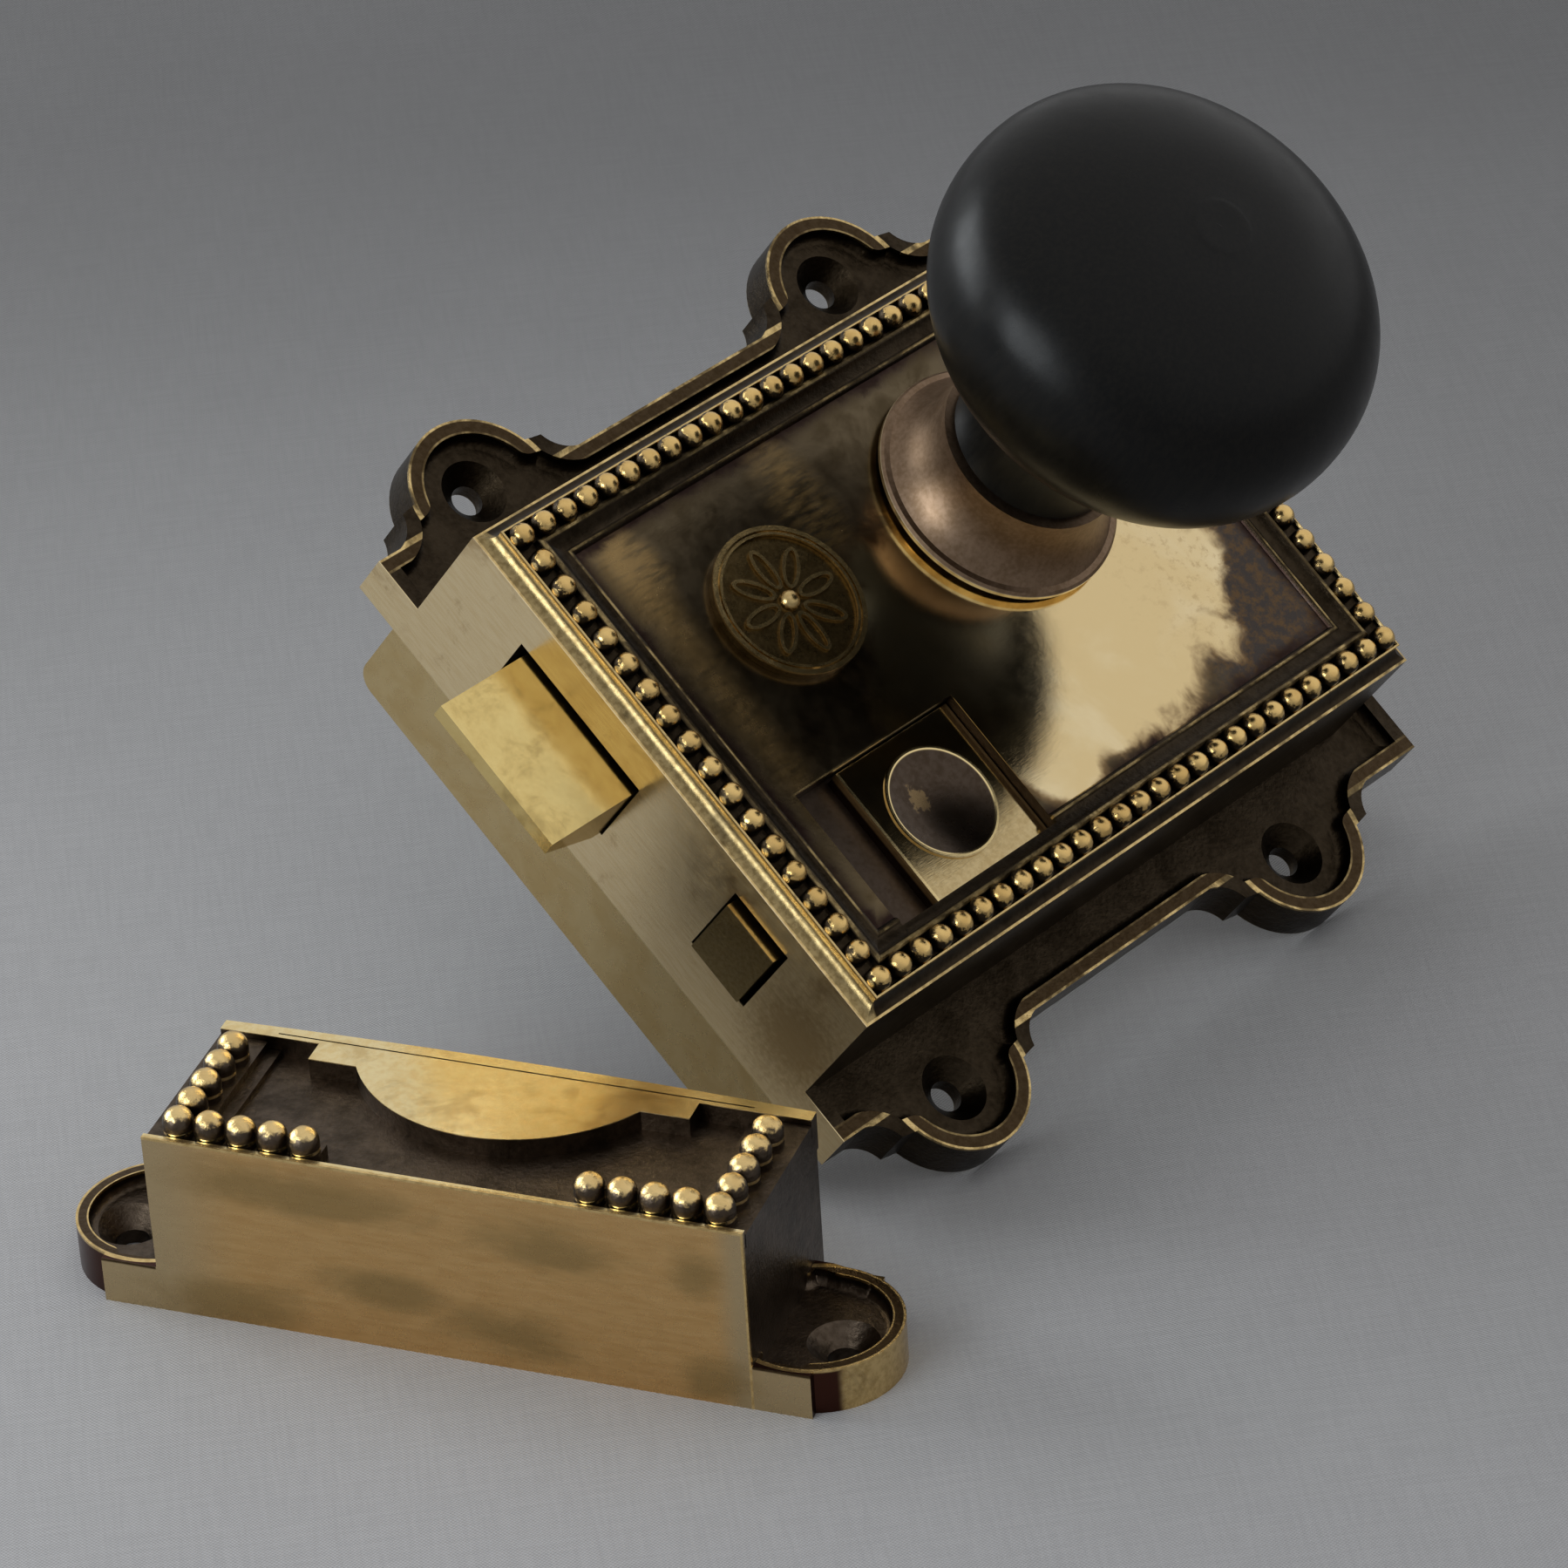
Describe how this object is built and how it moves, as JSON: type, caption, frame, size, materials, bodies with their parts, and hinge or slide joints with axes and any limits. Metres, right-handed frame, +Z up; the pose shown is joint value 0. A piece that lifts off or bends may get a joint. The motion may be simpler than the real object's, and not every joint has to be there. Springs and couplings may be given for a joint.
{
  "type": "rim latch",
  "caption": "Beaded cast-brass rim latch with an ebony knob, sliding snib bolt and separate box keep.",
  "frame": {"origin": "middle of the footprint at table level", "axes": "+Z up from the table, +X from the latch bolt's end towards the case's far end, along the case"},
  "size_m": [0.1948, 0.1204, 0.1296],
  "materials": {
    "case_brass": "aged, brown patina",
    "badge_brass": "aged",
    "bolt_brass": "worn bright",
    "inner_brass": "as machined",
    "collar_brass": "satin bronze brown",
    "steel": "dull",
    "spring_steel": "blued",
    "ebony": "satin"
  },
  "bodies": {
    "case": {"case": "case_brass", "cap_plate": "case_brass", "cap_screws": "steel", "badge": "badge_brass", "badge_pins": "badge_brass", "latch_spring": "spring_steel", "spring_post": "inner_brass", "tail_post": "inner_brass", "tail_clip": "steel", "stop_pin": "inner_brass", "keep": "case_brass"},
    "knob": {"knob": "ebony", "knob_collar": "collar_brass", "collar_screw": "steel", "spindle": "steel", "follower": "inner_brass"},
    "latch": {"latch_bolt": "bolt_brass"},
    "snib": {"snib_bolt": "bolt_brass", "snib_slide": "bolt_brass", "slide_studs": "bolt_brass", "snib_spring": "spring_steel", "snib_rivet": "bolt_brass"}
  },
  "joints": [
    {"name": "knob_turn", "type": "hinge", "parent": "case", "child": "knob", "pos_m": [0.04797, 0.01918, 0.04399], "axis": [0, 0.6167, -0.7872], "range_deg": [0, 50]},
    {"name": "latch_slide", "type": "slide", "parent": "case", "child": "latch", "axis": [1, 0, 0], "range_m": [0, 0.015], "stiffness_N_per_m": 100, "springref_m": -0.012, "deforming": ["latch_spring"]},
    {"name": "snib_slide", "type": "slide", "parent": "case", "child": "snib", "axis": [-1, 0, 0], "range_m": [0, 0.0087]}
  ],
  "couplings": [
    {"joint": "latch_slide", "follows": "knob_turn", "m_per_rad": 0.017189}
  ]
}
